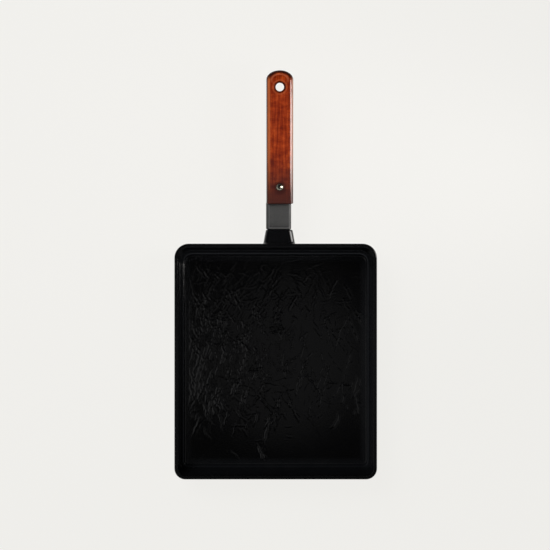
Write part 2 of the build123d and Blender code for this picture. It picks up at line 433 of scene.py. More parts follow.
def iron_recipe(net):
    place = object_place(net)
    floor_share = net.node("ShaderNodeAttribute", {"attribute_name": "cooking_floor"}, output="Fac")
    grain = cloudy(net, place, GRAIN_SIZE, detail=4)
    patches = cloudy(net, place, PATCH_SIZE, detail=4, roughness=0.6)
    patchy = patches.step(*PATCHES_SHOW)
    tops = axis_of(net, place, "Z").step(*TOPS_START)
    # Walls with their painted reflection, tops painted darker again
    walls = patchy.mixed(*WALL_SHEEN_COLOURS).painted(tops, *TOPS_PAINT)
    swing = ROUGHNESS_SWING * (patches - 0.5) + ROUGHNESS_SWING * (grain - 0.5)
    return {
        "Base Color": floor_share.mixed(walls, patchy.mixed(*FLOOR_COLOURS)),
        "Roughness": IRON_ROUGHNESS - FLOOR_SMOOTHER * floor_share + swing,
        "Specular IOR Level": 0.7,
        "Normal": raised(net, grain, strength=0.16, distance=0.12 * MM),
    }


seasoned_iron = material("seasoned_iron", iron_recipe)

# %% [markdown]
# ## The tray's outline
# Seen from above, each level of the tray is a rectangle with rounded corners. Its sides lean out a little
# and its ends lean out more. A bevelled box could be scaled into that shape, but its corners would be
# squeezed. So one array holds, for every point round the outline, the two corner centres it lies between,
# its share of the way from one to the other, and the direction it faces. With those, one formula gives the
# outline at any height and inset: the point between the centres, plus the corner radius times the
# direction.

# %% Points round a rounded rectangle
CELL = 0.68 * MM
CORNER_CELLS = 10
# About how much of the rim's width and length the floor takes
FLOOR_WIDTH_SHARE = 0.93
FLOOR_LENGTH_SHARE = 0.92
CELLS_ACROSS = 2 * round(RIM_WIDTH * FLOOR_WIDTH_SHARE / CELL / 2)
CELLS_ALONG = 2 * round(RIM_LENGTH * FLOOR_LENGTH_SHARE / CELL / 2)
CORNER_SIGNS = np.array([(-1, -1), (1, -1), (1, 1), (-1, 1)])
CORNER_RADII = np.array([FRONT_CORNER, FRONT_CORNER, REAR_CORNER, REAR_CORNER])
LEAST_RADIUS = 0.3 * MM
# A rounding on a leaning wall starts lower than a quarter circle does, which makes the real rim narrower.
# Taking this off all round makes up for it, and keeps the mesh inside the CAD tray.
RIM_SPARE = 0.09 * MM


def outline_layout():
    """Each side, counter-clockwise from the front: half a corner, the straight, and half the next corner."""
    start, end, share, facing = [], [], [], []
    for side, cells in enumerate((CELLS_ACROSS, CELLS_ALONG, CELLS_ACROSS, CELLS_ALONG)):
        straight_cells = cells - 2 * CORNER_CELLS
        middle = (side - 1) * pi / 2
        turn = np.linspace(0, pi / 4, CORNER_CELLS + 1)
        share += [np.zeros(CORNER_CELLS), np.linspace(0, 1, straight_cells + 1), np.ones(CORNER_CELLS - 1)]
        facing += [middle - pi / 4 + turn[:-1], np.full(straight_cells + 1, middle), middle + turn[1:-1]]
        start.append(np.full(cells, side))
        end.append(np.full(cells, (side + 1) % 4))
    return [np.concatenate(part) for part in (start, end, share, facing)]


def tray_outline(height, inset, layout):
    """Outline points at each height and inset. Both may be columns of values, with one row for each."""
    start, end, share, facing = layout
    height, inset = np.asarray(height, float)[..., None], np.asarray(inset, float)[..., None]
    half_width = RIM_WIDTH / 2 - (TRAY_HEIGHT - height) * tan(SIDE_DRAFT) - inset - RIM_SPARE
    half_length = RIM_LENGTH / 2 - (TRAY_HEIGHT - height) * tan(END_DRAFT) - inset - RIM_SPARE

    def corner(index):
        radius = np.maximum(CORNER_RADII[index] - inset, LEAST_RADIUS)
        return (
            CORNER_SIGNS[index, 0] * (half_width - radius),
            CORNER_SIGNS[index, 1] * (half_length - radius),
            radius,
        )

    first, second = corner(start), corner(end)
    x, y, radius = ((1 - share) * a + share * b for a, b in zip(first, second))
    level = np.broadcast_to(height, x.shape)
    return np.stack([x + radius * np.cos(facing), y + radius * np.sin(facing), level], axis=-1)


layout = outline_layout()
coarse_layout = [part[::2] for part in layout]
print(f"{len(layout[0])} points round the tray's floor, {len(coarse_layout[0])} round its wall")

# %% [markdown]
# ## The wall's profile
# The wall runs from the cooking floor up the inner side, over the rounded rim, down the outer side and
# round the lower edge. It could be a solid with bevelled edges, but here it is a profile carried round the
# outline, because then each rounding has exactly the radius of the real one. The profile is a list of
# heights and insets. The insets leave the lean out, because the outline adds it. Each rounding is a quarter
# circle, with a point just before and after it, so that smooth shading keeps the flats flat.

# %% The wall's profile
FLOOR_FILLET = 3.5 * MM
RIM_ROUNDING = 1.1 * MM
RIM_INNER_ROUNDING = 0.6 * MM
BASE_ROUNDING = 2.5 * MM
FLAT_MARGIN = 0.15 * MM


def quarter(centre_height, centre_inset, radius, start_angle, end_angle, count):
    """A quarter circle: height = centre height + r sin(angle), inset = centre inset + r cos(angle)."""
    angle = np.radians(np.linspace(start_angle, end_angle, count))
    return np.stack([centre_height + radius * np.sin(angle), centre_inset + radius * np.cos(angle)], axis=-1)


def straight(start, end, count):
    """Points between two (height, inset) points, the first and last just inside the ends."""
    length = np.hypot(end[0] - start[0], end[1] - start[1])
    margin = FLAT_MARGIN / length
    share = np.linspace(margin, 1 - margin, count)[:, None]
    return np.array(start) * (1 - share) + np.array(end) * share


fillet_top = FLOOR_THICKNESS + FLOOR_FILLET
rim_centre = TRAY_HEIGHT - RIM_ROUNDING
inner_rim_centre = TRAY_HEIGHT - RIM_INNER_ROUNDING
wall_profile = np.concatenate([
    quarter(fillet_top, WALL + FLOOR_FILLET, FLOOR_FILLET, 270, 180, count=8),
    straight((fillet_top, WALL), (inner_rim_centre, WALL), count=5),
    quarter(inner_rim_centre, WALL - RIM_INNER_ROUNDING, RIM_INNER_ROUNDING, 0, 90, count=5),
    straight((TRAY_HEIGHT, WALL - RIM_INNER_ROUNDING), (TRAY_HEIGHT, RIM_ROUNDING), count=2),
    quarter(rim_centre, RIM_ROUNDING, RIM_ROUNDING, 90, 180, count=6),
    straight((rim_centre, 0), (BASE_ROUNDING, 0), count=6),
    quarter(BASE_ROUNDING, BASE_ROUNDING, BASE_ROUNDING, 180, 270, count=6),
    [(0, BASE_ROUNDING + FLAT_MARGIN)],
])
print(f"wall profile: {len(wall_profile)} points")

# %% [markdown]
# ## The creased floor
# The floor of the real tray is covered with fine raised creases, like oiled paper that was crumpled and
# pressed flat again. Most lean steeply one way or the other and cross, some lie level, and many are short.
# They crowd on the left, thin out towards the right and grow rare near the front and the rear. A bump map
# could fake them, but a mirror-like floor shows the slope of every crease, so they are real relief on the
# floor's own grid. Each is a narrow ridge along a bent, slightly wavy line, with a shallow valley beside
# it. The heights of all of them are added, and a soft limit keeps places where many cross from piling up.

# %% The creases
CREASE_SEED = 7
CREASED_HALF_WIDTH = 82 * MM
CREASED_HALF_LENGTH = 97 * MM
# Each family: how many, usual length, lean from the tray's long axis in degrees and its spread, usual height
CREASE_FAMILIES = (
    (250, 16 * MM, 20, 8, 0.125 * MM),
    (230, 14 * MM, -27, 9, 0.115 * MM),
    (140, 9 * MM, 88, 14, 0.075 * MM),
    (420, 5 * MM, 0, 45, 0.065 * MM),
)
CREASE_WIDTH = 0.50 * MM
CREASE_REACH = 8 * MM
CREASE_LIMIT = 0.26 * MM
LENGTH_SPREAD, WIDTH_SPREAD, RISE_SPREAD, BEND_SPREAD = 0.5, 0.2, 0.4, 0.12
WAVE_DEPTH = 0.3 * MM
WAVE_RATE = 0.9 / MM
TAPER_POWER = 0.7
# The valley's depth as a share of the ridge's height, and its place and width as shares of the ridge's width
VALLEY_DEPTH, VALLEY_PLACE, VALLEY_WIDTH = 0.45, 1.7, 1.3
# How likely a crease is in the middle, how far to the right that falls by 1, and the least and the most of it
MIDDLE_DENSITY, DENSITY_FALL, DENSITY_LIMITS = 0.58, 150 * MM, (0.15, 0.9)
# Where the creases start and are full behind the front and before the rear, and the share that is left beyond
FRONT_FADE, FRONT_LEAST = mm(-70, -38), 0.05
REAR_FADE, REAR_LEAST = mm(90, 70), 0.1


def rising_share(y, none, full, least):
    """A share that rises evenly from 0 at none to 1 at full, but isn't less than the least."""
    return np.clip((y - none) / (full - none), least, 1)


def crease_density(x, y):
    """How likely a crease is at a place: high on the left, low on the right, at the front and at the rear."""
    leftness = np.clip(MIDDLE_DENSITY - x / DENSITY_FALL, *DENSITY_LIMITS)
    return leftness * rising_share(y, *FRONT_FADE, FRONT_LEAST) * rising_share(y, *REAR_FADE, REAR_LEAST)


def crease_height(x, y):
    """Sum of ridges exp(-(v/w)^2) less their valleys, tapered to nothing at both ends, limited by a tanh."""
    random = np.random.default_rng(CREASE_SEED)
    height = np.zeros_like(x)
    for count, length, lean, spread, rise in CREASE_FAMILIES:
        made = 0
        while made < count:
            centre_x = random.uniform(-CREASED_HALF_WIDTH, CREASED_HALF_WIDTH)
            centre_y = random.uniform(-CREASED_HALF_LENGTH, CREASED_HALF_LENGTH)
            if random.uniform() > crease_density(centre_x, centre_y):
                continue
            made += 1
            angle = radians(lean + random.normal(0, spread))
            half = length / 2 * np.exp(random.normal(0, LENGTH_SPREAD))
            width = CREASE_WIDTH * np.exp(random.normal(0, WIDTH_SPREAD))
            tall = rise * np.exp(random.normal(0, RISE_SPREAD))
            bend = random.normal(0, BEND_SPREAD) / half
            wave_start = random.uniform(0, 2 * pi)
            along = (x - centre_x) * sin(angle) + (y - centre_y) * cos(angle)
            across = (x - centre_x) * cos(angle) - (y - centre_y) * sin(angle)
            near = (np.abs(along) < half) & (np.abs(across) < CREASE_REACH)
            u = along[near]
            v = across[near] - bend * u ** 2 - WAVE_DEPTH * np.sin(WAVE_RATE * u + wave_start)
            taper = (1 - (u / half) ** 2) ** TAPER_POWER
            ridge = np.exp(-(v / width) ** 2)
            valley = VALLEY_DEPTH * np.exp(-((v - VALLEY_PLACE * width) / (VALLEY_WIDTH * width)) ** 2)
            height[near] += tall * taper * (ridge - valley)
    return CREASE_LIMIT * np.tanh(height / CREASE_LIMIT)


print("creases:", sum(family[0] for family in CREASE_FAMILIES))

# %% [markdown]
# ## The floor's grid
# A round fan or a flat face could fill the outline, but creases need small even cells. So the floor is a
# square grid whose four edges lie on the outline at the foot of the wall. A point inside is the sum of its
# place between the left and right edges and its place between the front and rear edges, less its place
# between the four corners. The creases fade out near the wall, where the fillet starts.

# %% The floor's grid
FLOOR_MARGIN = 0.4 * MM
FADE_START = 1.0 * MM
FADE_END = 6.0 * MM


def floor_grid(edge):
    """The patch in four edges: between left and right, plus between front and rear, less the corners."""
    front_right, rear_right = CELLS_ACROSS, CELLS_ACROSS + CELLS_ALONG
    rear_left = rear_right + CELLS_ACROSS
    front = edge[: front_right + 1]
    right = edge[front_right : rear_right + 1]
    rear = edge[rear_right : rear_left + 1][::-1]
    left = np.concatenate([edge[rear_left:], edge[:1]])[::-1]
    u = np.linspace(0, 1, CELLS_ACROSS + 1)[None, :, None]
    v = np.linspace(0, 1, CELLS_ALONG + 1)[:, None, None]
    sides = (1 - u) * left[:, None] + u * right[:, None]
    ends = (1 - v) * front[None] + v * rear[None]
    corners = (1 - v) * ((1 - u) * front[0] + u * front[-1]) + v * ((1 - u) * rear[0] + u * rear[-1])
    return sides + ends - corners


floor_edge = tray_outline(FLOOR_THICKNESS, WALL + FLOOR_FILLET + FLOOR_MARGIN, layout)
floor_points = floor_grid(floor_edge)
from_sides = floor_edge[:, 0].max() - np.abs(floor_points[..., 0])
from_ends = floor_edge[:, 1].max() - np.abs(floor_points[..., 1])
fade = np.clip((np.minimum(from_sides, from_ends) - FADE_START) / (FADE_END - FADE_START), 0, 1)
fade = fade * fade * (3 - 2 * fade)
floor_points[..., 2] += fade * crease_height(floor_points[..., 0], floor_points[..., 1])
relief = np.ptp(floor_points[..., 2])
print(f"floor: {floor_points.shape[0]} x {floor_points.shape[1]} points, relief {relief / MM:.2f} mm")

# %% [markdown]
# ## The spigot and its tongue
# The spigot is cast on the rear wall, a little right of the middle. It has a flat top with round shoulders
# and upright sides, it narrows on its way out, and it flares where it meets the wall. Behind its end face
# it goes on as a narrow tongue that lies inside the bracket. Two boxes could be joined and bevelled, but
# the flare would be lost. So it is one section with a fixed number of points, carried along a path, and
# each ring of points joins the next.

# %% The section
SPIGOT_TOP = TRAY_HEIGHT - 3.5 * MM
SPIGOT_LENGTH = 12.3 * MM
SPIGOT_TIP = REAR + SPIGOT_LENGTH
SPIGOT_DEPTH = 12.5 * MM
ROOT_WIDTH = 28.6 * MM
TIP_WIDTH = 23.8 * MM
SHOULDER = 3.6 * MM
LOWER_ROUNDING = 1.5 * MM
TONGUE_WIDTH, TONGUE_HEIGHT, TONGUE_DEPTH = mm(18.3, 8, 2)
TONGUE_ROUNDING = 1.2 * MM
ARC_POINTS = 6


def rounded_section(half_width, top, bottom, upper_rounding, lower_rounding):
    """A closed rectangle with rounded corners, from the right end of its top round by the underside."""
    points = []
    for corner, (side, level, rounding) in enumerate((
        (1, top - upper_rounding, upper_rounding), (1, bottom + lower_rounding, lower_rounding),
        (-1, bottom + lower_rounding, lower_rounding), (-1, top - upper_rounding, upper_rounding),
    )):
        angle = pi / 2 * (1 - corner) - np.linspace(0, pi / 2, ARC_POINTS)
        outward = np.stack([np.cos(angle), np.sin(angle)], axis=-1)
        onward = np.stack([np.sin(angle), -np.cos(angle)], axis=-1)
        arc = (side * (half_width - rounding), level) + rounding * outward
        points += [arc[:1] - FLAT_MARGIN * onward[:1], arc, arc[-1:] + FLAT_MARGIN * onward[-1:]]
    return np.concatenate(points)


def spigot_section(width, grow=0.0):
    """The spigot's section about its own top level. Grow moves every side outwards."""
    return rounded_section(width / 2 + grow, grow, -SPIGOT_DEPTH - grow, SHOULDER, LOWER_ROUNDING)


def tongue_section(grow=0.0):
    """The tongue's section, with as many points as the spigot's. Grow moves every side outwards."""
    top, bottom = grow - TONGUE_DEPTH, -TONGUE_DEPTH - TONGUE_HEIGHT - grow
    return rounded_section(TONGUE_WIDTH / 2 + grow, top, bottom, TONGUE_ROUNDING, TONGUE_ROUNDING)


print(f"each section has {len(tongue_section())} points")

# %% [markdown]
# ## The path of the spigot
# The path starts inside the wall, where the rings lean as the wall does, and stands upright at the tip. The
# flare is a quarter circle of width against length, and so is the small rounding at the tip. The tongue
# first runs level and then rises with the handle. Each ring is one section put in its place, and the rings
# lie closest together where the width changes fastest.

# %% The spigot and its tongue
FLARE = 2.0 * MM
SUNK_IN_WALL = 2.4 * MM
SUNK_FLARE_SHARE = 0.9
BODY_SHARES = (0.35, 0.6, 0.85)
TIP_ROUNDING = 0.7 * MM
KNEE_Y = SPIGOT_TIP + 3.3 * MM
KNEE_BEND = 1.1 * MM
TONGUE_REACH = 17 * MM
# How much wider the tongue is, and how far behind the spigot's end face
TONGUE_ROOT = mm(0.8, 0), mm(0.25, 0.2)
TONGUE_STARTS, TONGUE_STOPS = mm(0.8, 0.6)
# How much narrower the tongue is, and how far before its end
TONGUE_TIP = mm(0.2, 0.15), mm(0.7, 0)
FLARE_RINGS, TIP_RINGS, TONGUE_RINGS = 7, 5, 14


def handle_rise(distance):
    """How high the handle's line is at a distance behind the knee: level, a short bend, then the tilt."""
    inside = (distance + KNEE_BEND) ** 2 / (4 * KNEE_BEND)
    outside = np.where(distance > KNEE_BEND, distance, inside)
    return tan(TILT) * np.where(distance < -KNEE_BEND, 0, outside)


def lofted_spigot():
    """Points of the whole spigot, one row for each ring: the section's points at the path's place."""
    rows = []

    def ring(section, wall_share, y, rise=0.0, middle=SPIGOT_OFFSET):
        lean = -(TRAY_HEIGHT - SPIGOT_TOP - section[:, 1]) * tan(END_DRAFT)
        rows.append(np.stack(
            [middle + section[:, 0], y + wall_share * lean, SPIGOT_TOP + rise + section[:, 1]], axis=-1
        ))

    def tongue_ring(grow, y):
        ring(tongue_section(grow), 0, y, handle_rise(y - KNEE_Y), BRACKET_OFFSET)

    def width_at(share):
        return ROOT_WIDTH + (TIP_WIDTH - ROOT_WIDTH) * share

    ring(spigot_section(ROOT_WIDTH, SUNK_FLARE_SHARE * FLARE), 1, REAR - SUNK_IN_WALL)
    ring(spigot_section(ROOT_WIDTH, FLARE), 1, REAR - SUNK_IN_WALL / 2)
    for angle in np.linspace(0, pi / 2, FLARE_RINGS):
        reach = FLARE * (1 - cos(angle))
        share = reach / SPIGOT_LENGTH
        ring(spigot_section(width_at(share), FLARE * (1 - sin(angle))), 1 - share, REAR + reach)
    for share in BODY_SHARES:
        ring(spigot_section(width_at(share)), 1 - share, REAR + share * SPIGOT_LENGTH)
    for angle in np.linspace(0, pi / 2, TIP_RINGS):
        shrink = TIP_ROUNDING * (1 - cos(angle))
        ring(spigot_section(TIP_WIDTH, -shrink), 0, SPIGOT_TIP - TIP_ROUNDING * (1 - sin(angle)))
    ring(spigot_section(TIP_WIDTH, -TIP_ROUNDING - FLAT_MARGIN), 0, SPIGOT_TIP)
    for wider, behind in TONGUE_ROOT:
        tongue_ring(wider, SPIGOT_TIP + behind)
    end = KNEE_Y + TONGUE_REACH
    for y in np.linspace(SPIGOT_TIP + TONGUE_STARTS, end - TONGUE_STOPS, TONGUE_RINGS):
        tongue_ring(0, y)
    for narrower, before in TONGUE_TIP:
        ring(tongue_section(-narrower), 0, end - before, handle_rise(end - KNEE_Y), BRACKET_OFFSET)
    return np.array(rows)


spigot = lofted_spigot()
print(f"spigot: {spigot.shape[0]} rings of {spigot.shape[1]} points")

# %% [markdown]
# ## One casting
# The real tray and spigot are one piece of iron. A Boolean union could melt them together, but it leaves
# long thin faces that shade badly. So the floor, the wall and the underside are one closed skin, and the
# spigot is a second closed skin in the same mesh, which ends unseen inside the wall. The floor's grid is
# fine and the wall needs only half as many points round, so a ring of triangles joins each two floor cells
# to one wall cell.

# %% The skins
def grid_faces(rows, columns, first=0, closed=False):
    """Four-cornered faces between neighbouring rows and columns. Closed joins the two ends."""
    across = np.arange(columns if closed else columns - 1)
    low = first + np.arange(rows - 1)[:, None] * columns
    near, far = low + across, low + (across + 1) % columns
    return np.stack([near, far, far + columns, near + columns], axis=-1).reshape(-1, 4)


def joining_ring(edge, ring):
    """Three triangles for each point of the wall's ring, to the two floor cells beside it."""
    ring_next = np.roll(ring, -1)
    even, odd, even_next = edge[::2], edge[1::2], np.roll(edge[::2], -1)
    return np.concatenate([
        np.stack([ring, odd, even], axis=-1),
        np.stack([ring, ring_next, odd], axis=-1),
        np.stack([ring_next, even_next, odd], axis=-1),
    ])


def tray_skin():
    """Points and faces of the tray: floor grid, joining ring, wall rows, one flat face for the underside."""
    wall_rows = tray_outline(wall_profile[:, 0], wall_profile[:, 1], coarse_layout)
    points = np.concatenate([floor_points.reshape(-1, 3), wall_rows.reshape(-1, 3)])
    index = np.arange((CELLS_ACROSS + 1) * (CELLS_ALONG + 1)).reshape(CELLS_ALONG + 1, CELLS_ACROSS + 1)
    edge = np.concatenate([index[0, :-1], index[:-1, -1], index[-1, :0:-1], index[:0:-1, 0]])
    count = len(coarse_layout[0])
    ring = index.size + np.arange(count)
    walls = grid_faces(len(wall_profile), count, index.size, closed=True)[:, ::-1]
    underside = ring[::-1] + (len(wall_profile) - 1) * count
    floor_faces = grid_faces(CELLS_ALONG + 1, CELLS_ACROSS + 1)
    return points, [*floor_faces, *joining_ring(edge, ring), *walls, underside]


def spigot_skin(first):
    """Points and faces of the spigot, closed by one face at each end, with its first point's number given."""
    rows, count = spigot.shape[:2]
    sides = grid_faces(rows, count, first, closed=True)
    near_end = first + np.arange(count)
    far_end = near_end + (rows - 1) * count
    return spigot.reshape(-1, 3), [*sides, near_end[::-1], far_end]


tray_points, tray_faces = tray_skin()
spigot_points, spigot_faces = spigot_skin(len(tray_points))
print(f"skins: {len(tray_faces)} faces of the tray, {len(spigot_faces)} of the spigot")

# %% The casting
pan_casting = add_mesh(
    "pan_casting", np.concatenate([tray_points, spigot_points]), [*tray_faces, *spigot_faces]
)
is_floor = np.zeros(len(pan_casting.data.vertices))
is_floor[: fade.size] = fade.ravel()
floor_attribute = pan_casting.data.attributes.new("cooking_floor", "FLOAT", "POINT")
floor_attribute.data.foreach_set("value", is_floor)
pan_casting.data.materials.append(seasoned_iron)
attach(pan_casting, "root")
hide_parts("pan_body")
print(f"casting: {len(pan_casting.data.vertices)} points, {len(pan_casting.data.polygons)} faces")

# %% [markdown]
# ## Coated steel
# The bracket is pressed from sheet steel and has a matte grey heat-proof coat. It could be one flat grey,
# but the camera is close enough to show more. There is a faint speckle where the coat is thin over the
# grain of the steel and a few scratches, and over them painted light: painted shade at the front, where the
# nose curves down away from the light, a painted dark line across it just behind that, and painted
# highlights along its bent front and side edges. Each mark is a mask worked out from the distance to the
# bracket's front or to the spigot's middle line, and one layer of paint.

# %% The grey coat
BRACKET_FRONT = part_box("handle_bracket")[0].y
SPECKLE_SIZE = 0.7 * MM
SPECKLE_SHOWS = (0.3, 0.75)
SPECKLE_COLOURS = (0.050, 0.050, 0.050, 1), (0.075, 0.075, 0.074, 1)
CLOUD_SIZE = 6 * MM
CLOUDS_SHOW = (0.3, 0.8)
CLOUD_COLOUR = (0.069, 0.068, 0.067, 1)
# Painted shade at the front, where the nose curves down away from the light
FRONT_SHADE_FADES, FRONT_SHADE_WANDERS = mm(1, 7), 2 * MM
FRONT_SHADE_PAINT = 0.45, (0.022, 0.022, 0.023, 1)
# A painted dark line across the bracket just behind its front, standing in for shade
SHADE_LINE_BAND, SHADE_LINE_ENDS = mm(1.6, 2.1, 2.7, 3.3), mm(8.3, 9.0)
SHADE_LINE_PAINT = 0.6, (0.016, 0.016, 0.017, 1)
# Painted highlights along the bent side and front edges
SIDE_HIGHLIGHT_BAND, SIDE_HIGHLIGHT_STARTS = mm(8.4, 8.8, 9.0, 9.4), mm(0.2, 0.6)
FRONT_HIGHLIGHT_BAND, FRONT_HIGHLIGHT_ENDS = mm(0.2, 0.7, 1.2, 1.8), mm(8.6, 9.4)
EDGE_HIGHLIGHT_PAINT = 0.55, (0.17, 0.17, 0.165, 1)
SCRATCH_TURN, SCRATCH_STRETCH, SCRATCH_SIZE = (0, 0, 0.7), (1, 0.12, 1), 0.8 * MM
SCRATCHES_SHOW = (0.62, 0.70)
SCRATCH_PAINT = 0.25, (0.13, 0.13, 0.13, 1)
GREY_ROUGHNESS, GREY_ROUGHNESS_SWING = 0.42, 0.2


def grey_recipe(net):
    place = object_place(net)
    beside = abs(axis_of(net, place, "X") - SPIGOT_OFFSET)
    behind = axis_of(net, place, "Y") - BRACKET_FRONT
    speckle = cloudy(net, place, SPECKLE_SIZE, detail=5, roughness=0.7)
    clouds = cloudy(net, place, CLOUD_SIZE)
    painted_shade = 1 - (behind + FRONT_SHADE_WANDERS * (clouds - 0.5)).step(*FRONT_SHADE_FADES)
    shade_line = behind.band(*SHADE_LINE_BAND) * (1 - beside.step(*SHADE_LINE_ENDS))
    scratches = cloudy(net, object_place(net, SCRATCH_TURN, SCRATCH_STRETCH), SCRATCH_SIZE, detail=2)
    side_highlights = beside.band(*SIDE_HIGHLIGHT_BAND) * behind.step(*SIDE_HIGHLIGHT_STARTS)
    front_highlight = behind.band(*FRONT_HIGHLIGHT_BAND) * (1 - beside.step(*FRONT_HIGHLIGHT_ENDS))

    coat = clouds.step(*CLOUDS_SHOW).mixed(speckle.step(*SPECKLE_SHOWS).mixed(*SPECKLE_COLOURS), CLOUD_COLOUR)
    # Painted shade at the front, then a painted dark line just behind it
    coat = coat.painted(painted_shade, *FRONT_SHADE_PAINT).painted(shade_line, *SHADE_LINE_PAINT)
    coat = coat.painted(scratches.step(*SCRATCHES_SHOW), *SCRATCH_PAINT)
    # Painted highlights along the bent edges
    coat = coat.painted((side_highlights + front_highlight) * (0.5 + speckle), *EDGE_HIGHLIGHT_PAINT)
    return {
        "Base Color": coat,
        "Roughness": GREY_ROUGHNESS + GREY_ROUGHNESS_SWING * speckle,
        "Normal": raised(net, speckle, strength=0.35, distance=0.05 * MM),
    }


grey_coat = material("grey_coat", grey_recipe)

# %% [markdown]
# ## The grain of the wood
# The grip is a light hardwood with a strong red-brown stain, and its grain runs along it. Blender's wave
# texture can draw wood, but it looks like a printed board on a piece this small. So the grain is noise,
# stretched along the grip: broad streaks, fine ones, and short dark dashes for the pores, with slow clouds
# across the grain for the figure. The grip rises a little, so the noise is turned to lie along it.

# %% The wood's own patterns
GRIP_LEVEL = (-TILT, 0, 0)
STREAK_SHARE, FIGURE_SHARE, FINE_SHARE = 0.42, 0.40, 0.18
PORES_SHOW = (0.64, 0.74)
PORE_PAINT = 0.5, (0.050, 0.0070, 0.0020, 1)
STAIN_STOPS = (
    (0.39, (0.125, 0.0085, 0.0006, 1)),
    (0.47, (0.220, 0.0190, 0.0014, 1)),
    (0.53, (0.310, 0.0320, 0.0028, 1)),
    (0.61, (0.460, 0.0660, 0.0080, 1)),
)


def wood_patterns(net):
    """Streaks, fine streaks, figure and pores, each noise of its own size and stretch."""
    def noise(stretch, size, **settings):
        return cloudy(net, object_place(net, GRIP_LEVEL, stretch), size * MM, **settings)

    streaks = noise((1, 0.05, 1), 1.6, detail=5, roughness=0.6, distortion=0.4)
    fine = noise((1, 0.035, 1), 0.35, detail=2)
    figure = noise((0.8, 1.5, 1), 7, detail=4, roughness=0.62)
    pores = noise((1, 0.09, 1), 0.32, detail=1).step(*PORES_SHOW)
    return streaks, fine, figure, pores


print(f"the grain is turned by {-TILT * 180 / pi:.1f} degrees")

# %% [markdown]
# ## Marks on the wood, most of them painted light
# Heat has darkened the stain near the bracket, where the wood is scorched, and most other marks here are
# painted light and shade. Along the top's two long edges there are painted highlights: a lighter band on
# the left where light falls from the left, with a painted dark line at the far left, and the mirrored card
# on the right. At the rounded end the varnish is gone from the end grain, which is painted almost black,
# partly darker end grain and partly painted shade on the rounding that faces the dark rear, with a lighter
# arc inside it. The hanging hole has painted shade in its bevel and a lighter ring, and painted shade lies
# round the bolt's recess. They could be painted by hand on a picture, but each is a plain distance, to a
# line, an ellipse or a circle, and one layer of paint.

# %% Where the marks are
grip_low, grip_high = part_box("handle_grip")
GRIP_HALF_WIDTH = (grip_high.x - grip_low.x) / 2
bolt_low, bolt_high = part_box("handle_bolt")
bolt_middle = (bolt_low + bolt_high) / 2
BOLT_SIDE = bolt_middle.x - GRIP_OFFSET


def along_grip(y, z):
    """How far along the grip a point is, from the origin: the point turned level, y cos + z sin."""
    return y * cos(TILT) + z * sin(TILT)


HOLE_AT = along_grip(*hanging_hole["pos_m"][1:])
BOLT_AT = along_grip(bolt_middle.y, bolt_middle.z)
grip_corners = frame["nodes"]["handle_grip"].data.vertices
GRIP_TOP = max(cos(TILT) * corner.co.z - sin(TILT) * corner.co.y for corner in grip_corners)
print(f"hole {HOLE_AT / MM:.1f} mm and bolt {BOLT_AT / MM:.1f} mm along the grip's line")

# %% Painted light and shade on the edges
TOP_STARTS = (GRIP_TOP - 4.0 * MM, GRIP_TOP - 2.0 * MM)
# Painted light: a lighter band where light falls from the left, a painted dark line at the far left edge, and
# on the right a painted highlight of the mirrored card
LEFT_LIGHT_BAND = mm(7.9, 9.2, 10.3, 11.4)
LEFT_LIGHT_PAINT = 0.80, (0.58, 0.145, 0.038, 1)
LEFT_SHADE_EDGE = mm(10.4, 11.0)
LEFT_SHADE_PAINT = 0.85, (0.040, 0.0060, 0.0015, 1)
RIGHT_HIGHLIGHT_BAND = mm(8.2, 10.2)
RIGHT_HIGHLIGHT_BAND_PAINT = 0.45, (0.36, 0.090, 0.030, 1)
RIGHT_HIGHLIGHT_EDGE = mm(10.2, 11.0)
RIGHT_HIGHLIGHT_EDGE_PAINT = 0.65, (0.56, 0.32, 0.22, 1)


def with_painted_edge_light(stain, side, near_top):
    """Painted light and shade along the top's long edges, by the distance to the grip's middle line."""
    left = -side
    stain = stain.painted(left.band(*LEFT_LIGHT_BAND) * near_top, *LEFT_LIGHT_PAINT)
    stain = stain.painted(left.step(*LEFT_SHADE_EDGE) * near_top, *LEFT_SHADE_PAINT)
    stain = stain.painted(side.step(*RIGHT_HIGHLIGHT_BAND) * near_top, *RIGHT_HIGHLIGHT_BAND_PAINT)
    return stain.painted(side.step(*RIGHT_HIGHLIGHT_EDGE) * near_top, *RIGHT_HIGHLIGHT_EDGE_PAINT)


print(f"the top starts {TOP_STARTS[0] / MM:.1f} mm up, with the grip turned level")

# %% Marks at the end, the hole and the bolt
END_CENTRE, END_REACH = mm(6.2, 8.4)
ARC_BAND, ARC_STARTS = (0.50, 0.58, 0.64, 0.72), mm(2, 8)
ARC_PAINT = 0.5, (0.50, 0.14, 0.06, 1)
# The end grain is darker, and painted shade darkens it more where the rounding faces the dark rear
END_GRAIN, END_GRAIN_STARTS = (0.66, 0.80), mm(5.0, 10.0)
END_GRAIN_AND_SHADE_PAINT = 0.94, (0.020, 0.0055, 0.0035, 1)
HOLE_RING = mm(5.2, 5.8, 6.2, 7.2)
HOLE_RING_PAINT = 0.35, (0.50, 0.12, 0.04, 1)
# Painted shade in the hanging hole's bevel
HOLE_BEVEL = mm(4.8, 5.6)
HOLE_BEVEL_SHADE_PAINT = 0.85, (0.045, 0.0060, 0.0012, 1)
# Painted shade round the bolt, which sits in a recess
BOLT_SHADE, BOLT_SHADE_WANDERS = mm(3.8, 7.5), 4 * MM
BOLT_SHADE_PAINT = 0.6, (0.030, 0.0080, 0.0060, 1)


